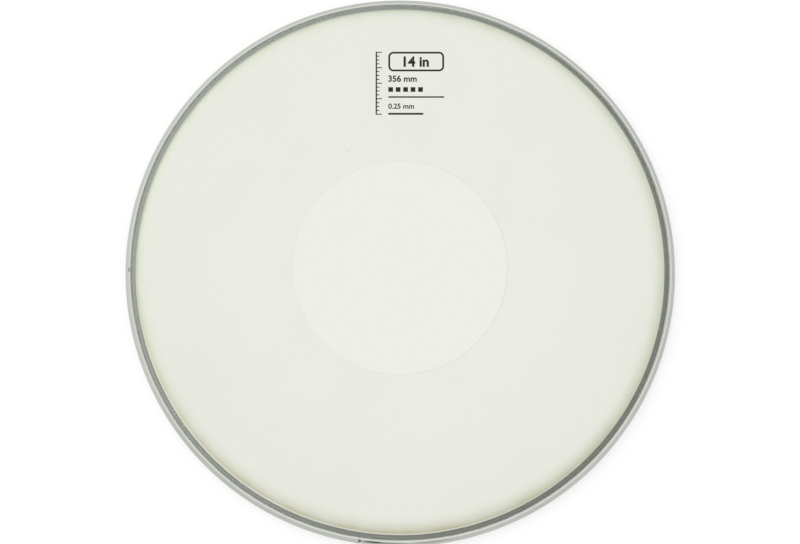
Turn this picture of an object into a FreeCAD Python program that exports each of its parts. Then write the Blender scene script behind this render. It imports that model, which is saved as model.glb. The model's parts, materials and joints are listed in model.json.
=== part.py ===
import FreeCAD, Part
import math
import os

# A coated 14 inch drum head with a dot on its underside. Millimetres, +Z up, the playing side up,
# and the origin at the centre of the hoop's flat bottom.

# The drum that the head goes on
shell_diameter = 355.6
shell_clearance = 0.7

# Hoop: a strip of sheet rolled into an open channel, with a shoulder and a lip at its outer wall
sheet = 0.8
channel_width = 5.65
inner_wall_height = 8.2
outer_wall_height = 6.6
shoulder_run = 2.95
lip_height = 10.6
lip_width = 0.9
foot_bend_radius = 1.0
shoulder_bend_radius = 1.2
lip_bend_radius = 0.8

# Butt seam of the hoop, closed by a weld
seam_gap = 0.5
seam_angle = 261.4

# Film: crown, collar, wall and flared edge
film = 0.25
film_to_inner_wall = 0.15
crown_height = 18.0
collar_width = 12.6
collar_bend_radius = 10.0
throat_height = 0.7
throat_bend_radius = 1.5
flare_height = 2.7
flare_run = 1.6
flare_drop = 1.3
flare_bend_radius = 0.8

# Holes punched round the film's edge, which the resin fills
perforation_count = 120
perforation_diameter = 2.6

# Resin in the channel: how far it stays below the inner wall's rim on the film's inner side and
# below the throat on its outer side, and how high it climbs there
resin_below_rim = 0.6
resin_below_throat = 0.2
resin_climb = 0.3

# Sprayed coating, and the width of collar that it leaves bare
coating = 0.1
bare_collar_width = 3.4

# Dot on the underside of the crown
dot_diameter = 142.0
dot_film = 0.13
adhesive = 0.05
adhesive_margin = 0.5

# Worked out from the sizes above
hoop_inner_radius = shell_diameter / 2 + shell_clearance
hoop_outer_radius = hoop_inner_radius + channel_width
inner_wall_radius = hoop_inner_radius + sheet / 2
outer_wall_radius = hoop_outer_radius - sheet / 2
shoulder_radius = hoop_outer_radius - shoulder_run
lip_inner_radius = shoulder_radius - lip_width
film_wall_radius = hoop_inner_radius + sheet + film_to_inner_wall + film / 2
film_crown = crown_height - film / 2
film_throat = inner_wall_height + throat_height
crown_radius = film_wall_radius - collar_width
coated_radius = film_wall_radius - bare_collar_width
inner_resin_top = inner_wall_height - resin_below_rim
outer_resin_top = film_throat - resin_below_throat
perforation_height = (flare_height + inner_resin_top) / 2
film_underside = crown_height - film
adhesive_underside = film_underside - adhesive
dot_underside = adhesive_underside - dot_film

AXIS_FOOT = FreeCAD.Vector(0, 0, 0)
AXIS = FreeCAD.Vector(0, 0, 1)


def at(radius, height):
    return FreeCAD.Vector(radius, 0, height)


def collar_slope():
    """Angle below level of the collar's straight run, tangent to its rounded shoulder."""
    drop = film_crown - film_throat
    rise = math.sqrt(collar_width**2 + drop**2 - 2 * collar_bend_radius * drop)
    return 2 * math.atan2(drop, collar_width + rise)


def strip_path():
    """Middle line of the hoop's sheet: corner points, and the bend radius at each inner one."""
    middle = sheet / 2
    run = shoulder_radius - hoop_outer_radius
    climb = lip_height - outer_wall_height
    turn = math.atan2(climb, -run)
    # a line parallel to the shoulder, half a sheet inside it, meets the wall and the lip here
    wall_corner = outer_wall_height - middle * math.tan((math.pi / 2 - turn) / 2)
    lip_corner = shoulder_radius - middle * math.tan(turn / 2)
    points = [
        (inner_wall_radius, inner_wall_height),
        (inner_wall_radius, middle),
        (outer_wall_radius, middle),
        (outer_wall_radius, wall_corner),
        (lip_corner, lip_height - middle),
        (lip_inner_radius, lip_height - middle),
    ]
    return points, [foot_bend_radius, foot_bend_radius, shoulder_bend_radius, lip_bend_radius]


def film_path():
    """Middle line of the film, from the axis out to the flared edge."""
    slope = collar_slope()
    crown_corner = crown_radius + collar_bend_radius * math.tan(slope / 2)
    points = [
        (0, film_crown),
        (crown_corner, film_crown),
        (film_wall_radius, film_throat),
        (film_wall_radius, flare_height),
        (film_wall_radius + flare_run, flare_height - flare_drop),
    ]
    return points, [collar_bend_radius, throat_bend_radius, flare_bend_radius]


def coating_path():
    """The film's middle line, cut off where the coating ends."""
    points, bends = film_path()
    crown_corner = points[1][0]
    run = coated_radius - crown_corner
    points = points[:2] + [(coated_radius, film_crown - run * math.tan(collar_slope()))]
    return points, bends[:1]


def headings(points):
    """Unit direction of each run of a path."""
    units = []
    for (r0, z0), (r1, z1) in zip(points, points[1:]):
        length = math.hypot(r1 - r0, z1 - z0)
        units.append(((r1 - r0) / length, (z1 - z0) / length))
    return units


def parallel(path, offset):
    """Edges of the line that runs at an offset to the left of a path, its corners rounded."""
    points, bends = path
    units = headings(points)
    start = points[0]
    end = points[-1]
    here = at(start[0] - offset * units[0][1], start[1] + offset * units[0][0])
    edges = []
    for corner, bend, before, after in zip(points[1:], bends, units, units[1:]):
        turn = math.atan2(
            before[0] * after[1] - before[1] * after[0],
            before[0] * after[0] + before[1] * after[1],
        )
        left = 1 if turn > 0 else -1
        radius = bend - left * offset
        reach = bend * math.tan(abs(turn) / 2)
        # the bend's centre is to the side that the path turns to
        leaves = (corner[0] - reach * before[0], corner[1] - reach * before[1])
        centre = (leaves[0] - left * bend * before[1], leaves[1] + left * bend * before[0])
        swing = [
            at(
                centre[0] + left * radius * heading[1],
                centre[1] - left * radius * heading[0],
            )
            for heading in (before, halfway(before, after), after)
        ]
        edges.append(Part.LineSegment(here, swing[0]).toShape())
        edges.append(Part.Arc(*swing).toShape())
        here = swing[2]
    last = at(end[0] - offset * units[-1][1], end[1] + offset * units[-1][0])
    edges.append(Part.LineSegment(here, last).toShape())
    return edges


def halfway(before, after):
    """Unit direction midway between two others."""
    r = before[0] + after[0]
    z = before[1] + after[1]
    length = math.hypot(r, z)
    return (r / length, z / length)


def first_point(edges):
    return edges[0].valueAt(edges[0].FirstParameter)


def last_point(edges):
    return edges[-1].valueAt(edges[-1].LastParameter)


def face_of(edges):
    return Part.Face(Part.Wire(Part.__sortEdges__(edges)))


def band(path, right, left):
    """Section of a layer that follows a path, between two offsets from it."""
    near = parallel(path, right)
    far = parallel(path, left)
    ends = [
        Part.LineSegment(first_point(near), first_point(far)).toShape(),
        Part.LineSegment(last_point(near), last_point(far)).toShape(),
    ]
    return face_of(near + far + ends)


def spin(section, start=0, sweep=360):
    """Turn a section round the head's axis, from one angle through another."""
    face = section.copy()
    face.rotate(AXIS_FOOT, AXIS, start)
    solid = face.revolve(AXIS_FOOT, AXIS, sweep)
    if solid.ShapeType != "Solid":
        solid = solid.Solids[0]
    return solid


def disc(radius, underside, top):
    return Part.makeCylinder(radius, top - underside, at(0, underside))


# Hoop and its weld

def hoop_section():
    return band(strip_path(), -sheet / 2, sheet / 2)


def seam_sweep():
    """Angle that the seam's gap takes of the circle, in degrees."""
    return math.degrees(seam_gap / hoop_outer_radius)


def hoop_channel():
    gap = seam_sweep()
    return spin(hoop_section(), seam_angle + gap / 2, 360 - gap)


def hoop_seam_weld():
    gap = seam_sweep()
    return spin(hoop_section(), seam_angle - gap / 2, gap)


# Film

def perforations():
    """Round pins across the film's wall, one for each punched hole."""
    reach = 2 * film
    pins = []
    for number in range(perforation_count):
        pin = Part.makeCylinder(
            perforation_diameter / 2,
            2 * reach,
            at(film_wall_radius - reach, perforation_height),
            FreeCAD.Vector(1, 0, 0),
        )
        pin.rotate(AXIS_FOOT, AXIS, 360 * (number + 0.5) / perforation_count)
        pins.append(pin)
    return Part.makeCompound(pins)


def membrane():
    sheet_of_film = spin(band(film_path(), -film / 2, film / 2))
    return sheet_of_film.cut(perforations()).Solids[0]


# Resin

def channel_cavity():
    """Section of the space inside the channel, up to a line from the inner rim to the lip."""
    inside = parallel(strip_path(), sheet / 2)
    mouth = Part.LineSegment(last_point(inside), first_point(inside)).toShape()
    return face_of(inside + [mouth])


def inside_of_outer_wall(height):
    """Radius of the outer wall's inner face, or of the shoulder's, at a height."""
    climb = lip_height - outer_wall_height
    up_shoulder = max(0, height - outer_wall_height) / climb
    slope_thickness = sheet * math.hypot(climb, shoulder_run) / climb
    on_shoulder = hoop_outer_radius - up_shoulder * shoulder_run - slope_thickness
    return on_shoulder if up_shoulder else hoop_outer_radius - sheet


def below_resin_surface():
    """Section of all that lies below the resin's top, which climbs the film and the shoulder."""
    left = hoop_inner_radius
    right = hoop_outer_radius
    wall = inside_of_outer_wall(outer_resin_top)
    surface = Part.Arc(
        at(film_wall_radius, outer_resin_top),
        at((film_wall_radius + wall) / 2, outer_resin_top - resin_climb),
        at(wall, outer_resin_top),
    )
    corners = [
        at(wall, outer_resin_top),
        at(right, outer_resin_top),
        at(right, 0),
        at(left, 0),
        at(left, inner_resin_top),
        at(film_wall_radius, inner_resin_top),
        at(film_wall_radius, outer_resin_top),
    ]
    sides = [Part.LineSegment(a, b).toShape() for a, b in zip(corners, corners[1:])]
    return face_of(sides + [surface.toShape()])


def resin_ring(film_solid):
    filled = channel_cavity().common(below_resin_surface()).Faces[0]
    return spin(filled).cut(film_solid).Solids[0]


# Coating and dot

def top_coating():
    return spin(band(coating_path(), film / 2, film / 2 + coating))


def dot_adhesive():
    return disc(dot_diameter / 2 - adhesive_margin, adhesive_underside, film_underside)


def center_dot():
    return disc(dot_diameter / 2, dot_underside, adhesive_underside)


def main():
    os.makedirs("parts", exist_ok=True)
    film_solid = membrane()
    pieces = {
        "hoop_channel": hoop_channel(),
        "hoop_seam_weld": hoop_seam_weld(),
        "resin_ring": resin_ring(film_solid),
        "membrane": film_solid,
        "top_coating": top_coating(),
        "dot_adhesive": dot_adhesive(),
        "center_dot": center_dot(),
    }
    for name, shape in pieces.items():
        box = shape.BoundBox
        print(name, shape.ShapeType, shape.isValid(), round(shape.Volume, 1), "mm3")
        print("  radius", round(box.XMax, 2), "height", round(box.ZMin, 2), round(box.ZMax, 2))
        shape.exportStep(f"parts/{name}.step")


main()
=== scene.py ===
import json
import math
import random

import bmesh
import bpy
import numpy as np
from mathutils import Matrix, Vector


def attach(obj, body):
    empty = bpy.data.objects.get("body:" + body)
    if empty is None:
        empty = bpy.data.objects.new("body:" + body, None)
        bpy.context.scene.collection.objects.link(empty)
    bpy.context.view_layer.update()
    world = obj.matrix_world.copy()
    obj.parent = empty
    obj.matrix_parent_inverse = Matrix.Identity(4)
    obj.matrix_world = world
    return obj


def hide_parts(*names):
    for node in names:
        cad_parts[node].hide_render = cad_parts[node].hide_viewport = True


# Looks of a coated 14 inch drum head, in metres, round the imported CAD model.
# The playing side is up, and the printed mark is towards +Y.

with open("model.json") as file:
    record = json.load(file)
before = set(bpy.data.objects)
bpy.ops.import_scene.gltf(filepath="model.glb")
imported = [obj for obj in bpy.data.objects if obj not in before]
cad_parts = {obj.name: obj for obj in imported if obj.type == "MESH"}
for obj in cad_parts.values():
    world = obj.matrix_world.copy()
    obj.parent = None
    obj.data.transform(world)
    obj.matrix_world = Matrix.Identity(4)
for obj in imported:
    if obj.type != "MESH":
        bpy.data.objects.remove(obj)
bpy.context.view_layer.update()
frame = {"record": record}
chance = random.Random(14)

MM = 0.001

# Hoop radii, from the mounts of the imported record
mounts = {mount["name"]: mount["dims"] for mount in frame["record"]["mounts"]}
hoop_inner_radius = mounts["shell_socket"]["r_mm"] * MM
hoop_outer_radius = mounts["counterhoop_seat"]["r_mm"] * MM

# Hoop sheet and the shape that it is rolled to
sheet = 0.8 * MM
inner_wall_height = 8.2 * MM
outer_wall_height = 6.6 * MM
shoulder_run = 2.95 * MM
lip_height = 10.6 * MM
lip_width = 0.9 * MM
foot_bend_radius = 1.0 * MM
shoulder_bend_radius = 1.2 * MM
lip_bend_radius = 0.8 * MM
sheet_edge_radius = 0.14 * MM
seam_gap = 0.5 * MM
seam_angle = 261.4
foot_angle = 262

# Film
film = 0.25 * MM
film_to_inner_wall = 0.15 * MM
crown_height = 18.0 * MM
collar_width = 12.6 * MM
collar_bend_radius = 10.0 * MM
throat_height = 0.7 * MM
throat_bend_radius = 1.5 * MM
flare_height = 2.7 * MM
flare_run = 1.6 * MM
flare_drop = 1.3 * MM
flare_bend_radius = 0.8 * MM
perforation_count = 120
perforation_radius = 1.3 * MM

# Resin, coating and dot
resin_below_rim = 0.6 * MM
resin_below_throat = 0.2 * MM
resin_climb = 0.3 * MM
coating = 0.1 * MM
bare_collar_width = 3.4 * MM
coating_lift = 0.01 * MM
coating_off_centre = 0.41 * MM
coating_low_angle = 235
coating_edge_wander = 0.2 * MM
coating_edge_shift = 0.02 * MM
dot_radius = 71.0 * MM
dot_film = 0.13 * MM
adhesive = 0.05 * MM
adhesive_margin = 0.5 * MM
dot_step = 0.03 * MM
dot_step_reach = 0.3 * MM
dot_step_rings = (-0.6, -0.3, -0.1, 0.1, 0.3, 0.6)

# Worked out from the sizes above
inner_wall_radius = hoop_inner_radius + sheet / 2
outer_wall_radius = hoop_outer_radius - sheet / 2
shoulder_radius = hoop_outer_radius - shoulder_run
lip_inner_radius = shoulder_radius - lip_width
film_wall_radius = hoop_inner_radius + sheet + film_to_inner_wall + film / 2
film_crown = crown_height - film / 2
film_throat = inner_wall_height + throat_height
crown_radius = film_wall_radius - collar_width
coated_radius = film_wall_radius - bare_collar_width
inner_resin_top = inner_wall_height - resin_below_rim
outer_resin_top = film_throat - resin_below_throat
perforation_height = (flare_height + inner_resin_top) / 2
coating_top = crown_height + coating
dot_top = crown_height - film - adhesive
seam_sweep = seam_gap / hoop_outer_radius

# Marks that wear and making left, by angle in degrees, radius, reach along and across, and depth
nick_angle = 180.2
nick_radius = 181.3 * MM
nick_reach = (1.7 * MM, 0.45 * MM)
nick_depth = 0.3 * MM
pit_angle = 261.6
pit_radius = 182.3 * MM
pit_reach = (0.55 * MM, 0.6 * MM)
pit_depth = 0.35 * MM
pinched_radius = 182.1 * MM
pinched_sweep = 9.0
pinched_reach = 3 * MM
pinched_depth = 0.3 * MM

# Unevenness from rolling, grinding and potting, and lines on the shoulder by radius and share
roll_wave = 0.05 * MM
weld_grind = 0.03 * MM
resin_wave = 0.16 * MM
roll_lines_on_shoulder = ((181.95, 0.4), (182.85, 0.25), (183.4, 0.2))

# Resin that ran over the film, by angle and band of radius, and specks in the coating by place
resin_run_angles = (212.1, 213.0, 213.9, 215.4, 216.2, 233.6, 235.2)
resin_run_band = (176.9, 177.9)
resin_fleck_angles = (107.5, 121.6, 125.9, 143.8, 165.6, 196.9)
resin_fleck_band = (177.2, 178.0)
coating_specks = ((-150.0, -44.3), (-46.5, -38.8), (-34.4, 78.5))

# Printed mark: the box that it fills on the crown
mark_left = -16.5 * MM
mark_right = 29.5 * MM
mark_foot = 103.0 * MM
mark_top = 146.0 * MM
ink = 0.012 * MM

# Mesh: turns and rings, the largest turn of a bend between two points, the longest run between
# two points along a section, and the angle above which an edge stays sharp
ring_turns = 720
patch_turns = 360
crown_rings = 24
patch_rings = 10
bend_facet = math.radians(9)
strip_facet = 0.8 * MM
film_facet = 9 * MM
resin_facet = 1.2 * MM
collar_facet = 0.35 * MM
coating_back_facet = 6 * MM
film_edge_radius = 0.04 * MM
coating_edge_radius = 0.035 * MM
sharp_above = math.radians(40)


# Section lines, in radius and height

def headings(points):
    """Unit direction of each run of a path."""
    units = []
    for (r0, z0), (r1, z1) in zip(points, points[1:]):
        length = math.hypot(r1 - r0, z1 - z0)
        units.append(((r1 - r0) / length, (z1 - z0) / length))
    return units


def beside(point, unit, offset):
    """A point moved to the left of a heading."""
    return (point[0] - offset * unit[1], point[1] + offset * unit[0])


def parallel(path, offset):
    """Points of the line that runs at an offset to the left of a path, its corners rounded."""
    points, bends = path
    units = headings(points)
    line = [beside(points[0], units[0], offset)]
    for corner, bend, before, after in zip(points[1:], bends, units, units[1:]):
        turn = math.atan2(
            before[0] * after[1] - before[1] * after[0],
            before[0] * after[0] + before[1] * after[1],
        )
        left = math.copysign(1, turn)
        radius = bend - left * offset
        reach = bend * math.tan(abs(turn) / 2)
        leaves = (corner[0] - reach * before[0], corner[1] - reach * before[1])
        centre = beside(leaves, before, left * bend)
        steps = max(2, math.ceil(abs(turn) / bend_facet))
        for step in range(steps + 1):
            heading = math.atan2(before[1], before[0]) + turn * step / steps
            line.append((
                centre[0] + left * radius * math.sin(heading),
                centre[1] - left * radius * math.cos(heading),
            ))
    line.append(beside(points[-1], units[-1], offset))
    return line


def divided(line, longest):
    """The same line with points added, so that no run is longer than this."""
    points = [line[0]]
    for (r0, z0), (r1, z1) in zip(line, line[1:]):
        pieces = max(1, math.ceil(math.hypot(r1 - r0, z1 - z0) / longest))
        for piece in range(1, pieces + 1):
            part = piece / pieces
            points.append((r0 + (r1 - r0) * part, z0 + (z1 - z0) * part))
    return points


def below(line, height):
    """The stretch of a line under a height, cut off where the line crosses it."""
    kept = []
    for start, end in zip(line, line[1:]):
        low, high = start[1] <= height, end[1] <= height
        if low:
            kept.append(start)
        if low != high:
            part = (height - start[1]) / (end[1] - start[1])
            kept.append((start[0] + (end[0] - start[0]) * part, height))
    if line[-1][1] <= height:
        kept.append(line[-1])
    return kept


def eased_end(near, far, corner):
    """Points across the cut end of a sheet, from one face to the other, its edges eased."""
    (r0, z0), (r1, z1) = near, far
    across = math.hypot(r1 - r0, z1 - z0)
    along = ((r1 - r0) / across, (z1 - z0) / across)
    outward = (along[1], -along[0])
    points = []
    for turn in (0, 45, 90):
        swing = math.radians(turn)
        points.append((corner * (1 - math.cos(swing)), corner * (1 - math.sin(swing))))
    points += [(across - run, back) for run, back in reversed(points)]
    return [
        (r0 + run * along[0] - back * outward[0], z0 + run * along[1] - back * outward[1])
        for run, back in points
    ]


def layer(path, right, left, corner, longest):
    """Closed section of a layer along a path, between two offsets, its cut ends eased."""
    near = divided(parallel(path, right), longest)
    far = divided(parallel(path, left), longest)
    start = [] if near[0][0] == 0 else eased_end(far[0], near[0], corner)[1:-1]
    end = eased_end(near[-1], far[-1], corner)[1:-1]
    cut = 0 if near[0][0] == 0 else 1
    return near[cut:-1] + end + far[::-1][1:len(far) - cut] + start


def strip_path():
    """Middle line of the hoop's sheet, with the bend radius at each inner corner."""
    middle = sheet / 2
    climb = lip_height - outer_wall_height
    turn = math.atan2(climb, shoulder_run)
    wall_corner = outer_wall_height - middle * math.tan((math.pi / 2 - turn) / 2)
    lip_corner = shoulder_radius - middle * math.tan(turn / 2)
    points = [
        (inner_wall_radius, inner_wall_height),
        (inner_wall_radius, middle),
        (outer_wall_radius, middle),
        (outer_wall_radius, wall_corner),
        (lip_corner, lip_height - middle),
        (lip_inner_radius, lip_height - middle),
    ]
    return points, [foot_bend_radius, foot_bend_radius, shoulder_bend_radius, lip_bend_radius]


def collar_slope():
    """Angle below level of the collar's straight run."""
    drop = film_crown - film_throat
    rise = math.sqrt(collar_width**2 + drop**2 - 2 * collar_bend_radius * drop)
    return 2 * math.atan2(drop, collar_width + rise)


def film_path():
    """Middle line of the film, from the axis out to its flared edge."""
    crown_corner = crown_radius + collar_bend_radius * math.tan(collar_slope() / 2)
    points = [
        (0, film_crown),
        (crown_corner, film_crown),
        (film_wall_radius, film_throat),
        (film_wall_radius, flare_height),
        (film_wall_radius + flare_run, flare_height - flare_drop),
    ]
    return points, [collar_bend_radius, throat_bend_radius, flare_bend_radius]


def coating_path():
    """The film's middle line, cut off where the coating ends."""
    points, bends = film_path()
    run = coated_radius - points[1][0]
    end = (coated_radius, film_crown - run * math.tan(collar_slope()))
    return points[:2] + [end], bends[:1]


# Meshes turned round the head's axis

def signed_area(section):
    ends = section[1:] + section[:1]
    return sum(r0 * z1 - r1 * z0 for (r0, z0), (r1, z1) in zip(section, ends)) / 2


def even_turns(count, start=0, sweep=2 * math.pi):
    return [start + sweep * number / count for number in range(count)]


def with_detail(turns, degrees, reach, spacing):
    """Turns with more of them close to an angle."""
    middle = math.radians(degrees)
    extra = np.arange(middle - reach, middle + reach, spacing)
    return sorted(set(turns) | set(float(turn) for turn in extra))


def new_object(name, data):
    """Object with its data, put in the scene."""
    made = bpy.data.objects.new(name, data)
    bpy.context.scene.collection.objects.link(made)
    return made


def mesh_piece(name, points, faces):
    """Object from points and faces, smooth but for its sharp edges."""
    mesh = bpy.data.meshes.new(name)
    mesh.from_pydata(points, [], faces)
    mesh.shade_smooth()
    mesh.set_sharp_from_angle(angle=sharp_above)
    return new_object(name, mesh)


def gathered(name, shapes):
    """Object from all that a bmesh holds, which is then freed."""
    mesh = bpy.data.meshes.new(name)
    shapes.to_mesh(mesh)
    shapes.free()
    return new_object(name, mesh)


def turned(name, section, turns, shape=None, whole=True):
    """Piece made by turning a closed section round the axis through a list of angles.

    Shape may move its points: it takes and gives back arrays of radius and height.
    """
    if signed_area(section) < 0:
        section = section[::-1]
    rows = len(section)
    turn = np.array(turns)[:, None] * np.ones(rows)
    radius, height = (np.ones((len(turns), 1)) * side for side in np.array(section).T)
    if shape:
        radius, height = shape(turn, radius, height)
    spots = np.stack([radius * np.cos(turn), radius * np.sin(turn), height], axis=2)
    faces = []
    for here in range(len(turns) if whole else len(turns) - 1):
        there = (here + 1) % len(turns)
        for row in range(rows):
            up = (row + 1) % rows
            if section[row][0] or section[up][0]:
                corners = [(here, row), (there, row), (there, up), (here, up)]
                faces.append([step * rows + level for step, level in corners])
    if not whole:
        last = (len(turns) - 1) * rows
        faces.append(list(range(rows)))
        faces.append([last + row for row in reversed(range(rows))])
    return mesh_piece(name, *joined_at_axis(spots.reshape(-1, 3).tolist(), faces))


def joined_at_axis(points, faces):
    """The same mesh with one point where many meet on the axis."""
    kept = []
    places = []
    at_axis = {}
    for point in points:
        if math.hypot(point[0], point[1]) > 1e-9:
            places.append(len(kept))
            kept.append(point)
        else:
            if point[2] not in at_axis:
                at_axis[point[2]] = len(kept)
                kept.append((0, 0, point[2]))
            places.append(at_axis[point[2]])
    joined = []
    for face in faces:
        corners = [places[corner] for corner in face]
        joined.append([c for c, after in zip(corners, corners[1:] + corners[:1]) if c != after])
    return kept, joined


def ripple(turn, waves):
    """Irregular wave of about unit height round the ring, from (lobes, weight, phase) triples."""
    return sum(weight * np.cos(lobes * turn + phase) for lobes, weight, phase in waves)


def waves_of(lobes):
    """Random phases for a few numbers of lobes, the finer waves lower."""
    weights = [1 / (1 + number) for number in range(len(lobes))]
    return [(n, w / sum(weights), chance.uniform(0, 2 * math.pi)) for n, w in zip(lobes, weights)]


def bump_at(turn, radius, degrees, centre_radius, along, across):
    """Bell-shaped share from 0 to 1 round a place on the ring, of a length and a width."""
    offset = turn - math.radians(degrees)
    offset = (offset + math.pi) % (2 * math.pi) - math.pi
    run = offset * centre_radius / along
    side = (radius - centre_radius) / across
    return np.exp(-run * run - side * side)


def settle(piece, material, slot, *nodes):
    """Give a piece its material and its CAD body, and hide the CAD nodes that it stands for; the slot
    is not used.
    """
    piece.data.materials.clear()
    piece.data.materials.append(material)
    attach(piece, "root")
    if nodes:
        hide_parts(*nodes)


# Node trees

def place(tree, kind, inputs=None, **settings):
    """Add a node, with its settings, and feed or set its inputs by name or number."""
    node = tree.nodes.new(kind)
    node.location = (200 * (len(tree.nodes) % 12), -220 * (len(tree.nodes) // 12))
    for name, value in settings.items():
        setattr(node, name, value)
    for name, value in (inputs or {}).items():
        if isinstance(value, bpy.types.NodeSocket):
            tree.links.new(value, node.inputs[name])
        else:
            node.inputs[name].default_value = value
    return node


def maths(tree, operation, *values):
    return place(tree, "ShaderNodeMath", dict(enumerate(values)), operation=operation).outputs[0]


def vector_maths(tree, operation, *values):
    inputs = dict(enumerate(values))
    return place(tree, "ShaderNodeVectorMath", inputs, operation=operation).outputs


def times(tree, first, second):
    return maths(tree, "MULTIPLY", first, second)


def blended(tree, first, share, second):
    """The first value by a share, and the second by the rest of one."""
    return maths(tree, "ADD", times(tree, first, share), times(tree, second, 1 - share))


def ramp(tree, value, low, high, out_low=0.0, out_high=1.0, smooth=True):
    """Value between two limits turned into a share, or into a range of its own."""
    inputs = {"Value": value, "From Min": low, "From Max": high}
    inputs.update({"To Min": out_low, "To Max": out_high})
    easing = "SMOOTHSTEP" if smooth else "LINEAR"
    return place(tree, "ShaderNodeMapRange", inputs, interpolation_type=easing).outputs["Result"]


def opaque(colour):
    """A colour's own socket, or its three values made opaque."""
    return colour if isinstance(colour, bpy.types.NodeSocket) else (*colour, 1)


def tinted(tree, share, under, over, blend="MIX"):
    """Colour over another by a share."""
    inputs = {0: share, 6: opaque(under), 7: opaque(over)}
    return place(tree, "ShaderNodeMix", inputs, data_type="RGBA", blend_type=blend).outputs[2]


def toned(tree, under, mask, share, over):
    """Colour over another where a mask lies, by a share of the mask."""
    return tinted(tree, times(tree, mask, share), under, over)


def noise(tree, vector, scale, detail=3.0, roughness=0.55):
    inputs = {"Vector": vector, "Scale": scale, "Detail": detail, "Roughness": roughness}
    return place(tree, "ShaderNodeTexNoise", inputs).outputs["Fac"]


def facing(tree, ring, degrees):
    """Share from -1 to 1 by how far a place round the ring lies towards an angle."""
    turn = math.radians(degrees)
    aim = (math.cos(turn), math.sin(turn), 0)
    return vector_maths(tree, "DOT_PRODUCT", ring["Side"], aim)["Value"]


def ring_line(tree, ring, radius, core, reach, share=1.0):
    """Line round the ring at a radius: a share within its core, and 0 beyond its reach."""
    away = maths(tree, "ABSOLUTE", maths(tree, "SUBTRACT", ring["Radius"], radius))
    return ramp(tree, away, core, reach, share, 0.0)


def ring_mark(tree, ring, degrees, radius, along, across):
    """Long streaky patch on the ring: 1 in its middle, and 0 beyond its length and width."""
    half_turn = along / radius / 2
    aside = maths(tree, "SUBTRACT", 1.0, facing(tree, ring, degrees))
    lengthways = maths(tree, "DIVIDE", aside, 1 - math.cos(half_turn))
    off = maths(tree, "DIVIDE", maths(tree, "SUBTRACT", ring["Radius"], radius), across / 2)
    spread = maths(tree, "ADD", lengthways, times(tree, off, off))
    streaks = ramp(tree, noise(tree, ring["Drawn Out"], 0.4, 2.0), 0.3, 0.7, -0.15, 0.15)
    return ramp(tree, maths(tree, "ADD", spread, streaks), 0.1, 1.0, 1.0, 0.0)


def near_spot(tree, spot, x, y, core, reach):
    """Share that is 1 within a core round a place on the head, and 0 beyond a reach."""
    flat = vector_maths(tree, "MULTIPLY", spot, (1, 1, 0))[0]
    away = vector_maths(tree, "DISTANCE", flat, (x, y, 0))["Value"]
    return ramp(tree, away, core, reach, 1.0, 0.0)


def group(name, inputs, outputs):
    """Empty node group with named inputs (name, kind, default) and outputs (name, kind)."""
    tree = bpy.data.node_groups.new(name, "ShaderNodeTree")
    for label, kind, default in inputs:
        socket = tree.interface.new_socket(label, in_out="INPUT", socket_type=f"NodeSocket{kind}")
        socket.default_value = default
    for label, kind in outputs:
        tree.interface.new_socket(label, in_out="OUTPUT", socket_type=f"NodeSocket{kind}")
    return tree, tree.nodes.new("NodeGroupInput").outputs, tree.nodes.new("NodeGroupOutput").inputs


def effect(tree, shared, inputs=None):
    """Place a shared effect in a material with its own values, and give its outputs."""
    return place(tree, "ShaderNodeGroup", inputs, node_tree=shared).outputs


def finish_of(name):
    """New material with its tree and its Principled shader."""
    material = bpy.data.materials.new(name)
    material.use_nodes = True
    tree = material.node_tree
    return material, tree, tree.nodes["Principled BSDF"]


def feed(tree, shader, **sockets):
    """Link or set the shader's inputs, a word with _ for each space."""
    for name, value in sockets.items():
        socket = shader.inputs[name.replace("_", " ")]
        if isinstance(value, bpy.types.NodeSocket):
            tree.links.new(value, socket)
        else:
            socket.default_value = value


def bumped(tree, shader, height, distance, strength=1.0):
    inputs = {"Height": height, "Distance": distance, "Strength": strength}
    normal = place(tree, "ShaderNodeBump", inputs).outputs["Normal"]
    tree.links.new(normal, shader.inputs["Normal"])


# Effects that several finishes share

def make_ring_places():
    """Radius, height, direction from the axis, and a vector drawn out round the ring."""
    tree, given, result = group(
        "ring places",
        [("Around", "Float", 60.0), ("Across", "Float", 6000.0)],
        [("Radius", "Float"), ("Height", "Float"), ("Side", "Vector"),
         ("Spot", "Vector"), ("Drawn Out", "Vector")],
    )
    spot = place(tree, "ShaderNodeTexCoord").outputs["Object"]
    split = place(tree, "ShaderNodeSeparateXYZ", {0: spot}).outputs
    flat = place(tree, "ShaderNodeCombineXYZ", {0: split[0], 1: split[1]}).outputs[0]
    radius = vector_maths(tree, "LENGTH", flat)["Value"]
    side = vector_maths(tree, "NORMALIZE", flat)[0]
    across = times(tree, maths(tree, "ADD", radius, split[2]), given["Across"])
    inputs = {0: side, "Scale": given["Around"]}
    around = place(tree, "ShaderNodeVectorMath", inputs, operation="SCALE").outputs[0]
    lifted = place(tree, "ShaderNodeCombineXYZ", {2: across}).outputs[0]
    drawn = vector_maths(tree, "ADD", around, lifted)[0]
    for label, value in (("Radius", radius), ("Height", split[2]), ("Side", side),
                         ("Spot", spot), ("Drawn Out", drawn)):
        tree.links.new(value, result[label])
    return tree


def make_grain():
    """Fine even grain: a mask, and a height for bumps, from two sizes of noise."""
    tree, given, result = group(
        "grain",
        [("Spot", "Vector", (0, 0, 0)), ("Fine", "Float", 2500.0), ("Coarse", "Float", 400.0)],
        [("Mask", "Float"), ("Height", "Float")],
    )
    fine = noise(tree, given["Spot"], given["Fine"], 2.0, 0.6)
    coarse = noise(tree, given["Spot"], given["Coarse"], 3.0, 0.5)
    height = blended(tree, fine, 0.65, coarse)
    tree.links.new(ramp(tree, height, 0.35, 0.65), result["Mask"])
    tree.links.new(height, result["Height"])
    return tree


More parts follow.
